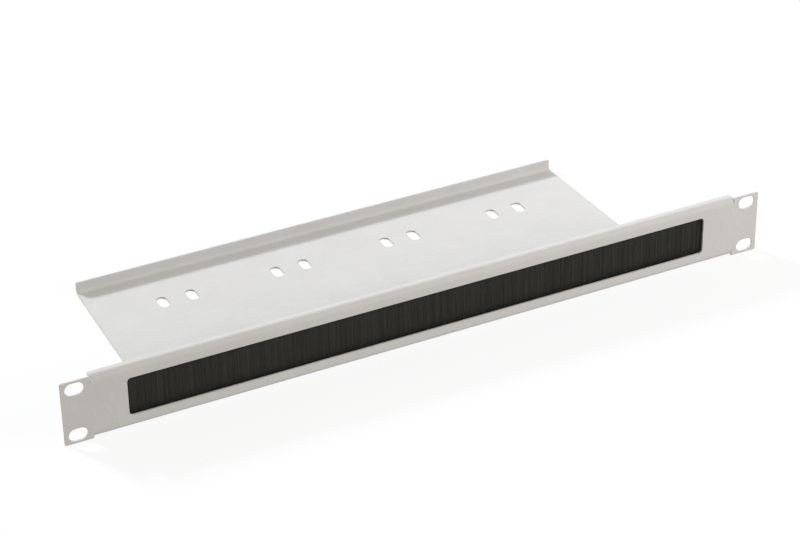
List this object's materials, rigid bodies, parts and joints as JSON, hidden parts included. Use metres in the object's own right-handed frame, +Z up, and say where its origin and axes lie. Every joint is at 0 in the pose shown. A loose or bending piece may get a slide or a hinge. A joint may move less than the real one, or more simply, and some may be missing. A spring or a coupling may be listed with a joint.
{
  "type": "rack brush panel",
  "caption": "Rack-mount cable entry panel: folded steel sheet with a brush-filled window, slotted ears and a cable tray with tie slots.",
  "frame": {"origin": "centre of the four rack slots, on the front face of the front plate", "axes": "+X along the panel, +Y back into the rack, +Z up"},
  "size_m": [0.4826, 0.159, 0.043],
  "materials": {
    "painted_sheet": "satin",
    "bristle": "matte",
    "rail_metal": "satin",
    "wire_metal": "satin",
    "plated_steel": "satin"
  },
  "bodies": {
    "root": {"panel": "painted_sheet", "bristles": "bristle", "brush_rail": "rail_metal", "core_wire": "wire_metal", "weld_studs": "plated_steel", "washers": "plated_steel", "nuts": "plated_steel"}
  },
  "joints": []
}
